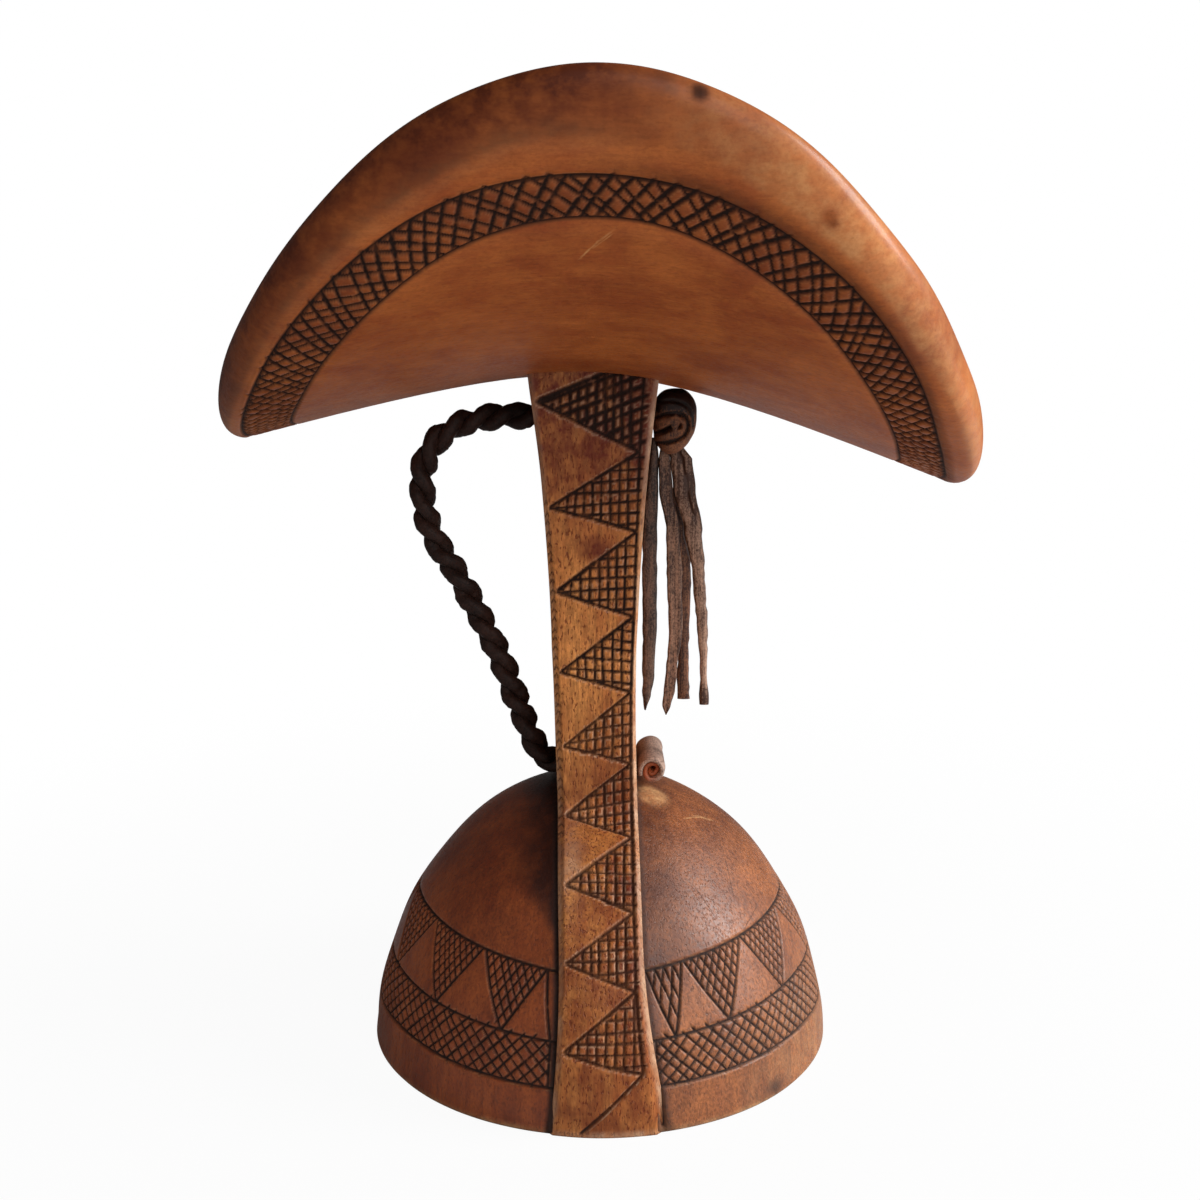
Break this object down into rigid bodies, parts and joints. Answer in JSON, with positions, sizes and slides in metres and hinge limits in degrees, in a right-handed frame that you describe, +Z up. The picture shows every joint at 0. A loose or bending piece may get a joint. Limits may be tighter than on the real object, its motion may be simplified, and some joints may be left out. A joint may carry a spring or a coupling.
{
  "type": "carved headrest",
  "caption": "Carved wooden headrest: a saddle-shaped pillow on a flat stem and a domed foot, with a twisted leather carrying strap, a knotted tassel and a rolled stop toggle.",
  "frame": {"origin": "centre of the foot's flat underside", "axes": "+Z up through the stem; -Y is the stem's carved narrow edge, which faces the picture; the strap hangs on -X and the tassel on +X"},
  "size_m": [0.1436, 0.1728, 0.1849],
  "materials": {
    "wood": "worn, oiled and hand polished",
    "strap": "dark, greased and twisted",
    "tassel": "dry suede",
    "toggle": "dry, rolled"
  },
  "bodies": {
    "headrest": {"carved_body": "wood", "strap_upper_tail": "strap", "strap_lower_tail": "strap", "tassel_knot": "tassel"},
    "strap": {"strap_loop": "strap"},
    "thong_1": {"tassel_thong_1": "tassel"},
    "thong_2": {"tassel_thong_2": "tassel"},
    "thong_3": {"tassel_thong_3": "tassel"},
    "thong_4": {"tassel_thong_4": "tassel"},
    "toggle": {"stop_toggle": "toggle"}
  },
  "joints": [
    {"name": "strap_swing", "type": "hinge", "parent": "headrest", "child": "strap", "pos_m": [-0.01157, 0, 0.05839], "axis": [-0.054, 0, 0.9985], "range_deg": [-60, 60]},
    {"name": "thong_1_swing", "type": "hinge", "parent": "headrest", "child": "thong_1", "pos_m": [0.01115, 0, 0.12247], "axis": [1, 0, 0], "range_deg": [-50, 50]},
    {"name": "thong_2_swing", "type": "hinge", "parent": "headrest", "child": "thong_2", "pos_m": [0.01295, 0, 0.12156], "axis": [1, 0, 0], "range_deg": [-50, 0]},
    {"name": "thong_3_swing", "type": "hinge", "parent": "headrest", "child": "thong_3", "pos_m": [0.01315, 0.0024, 0.12151], "axis": [1, 0, 0], "range_deg": [0, 50]},
    {"name": "thong_4_swing", "type": "hinge", "parent": "headrest", "child": "thong_4", "pos_m": [0.01615, 0, 0.1215], "axis": [1, 0, 0], "range_deg": [-50, 50]},
    {"name": "toggle_swivel", "type": "hinge", "parent": "headrest", "child": "toggle", "pos_m": [0.01033, 0, 0.05839], "axis": [1, 0, 0], "range_deg": [-12, 12]}
  ]
}
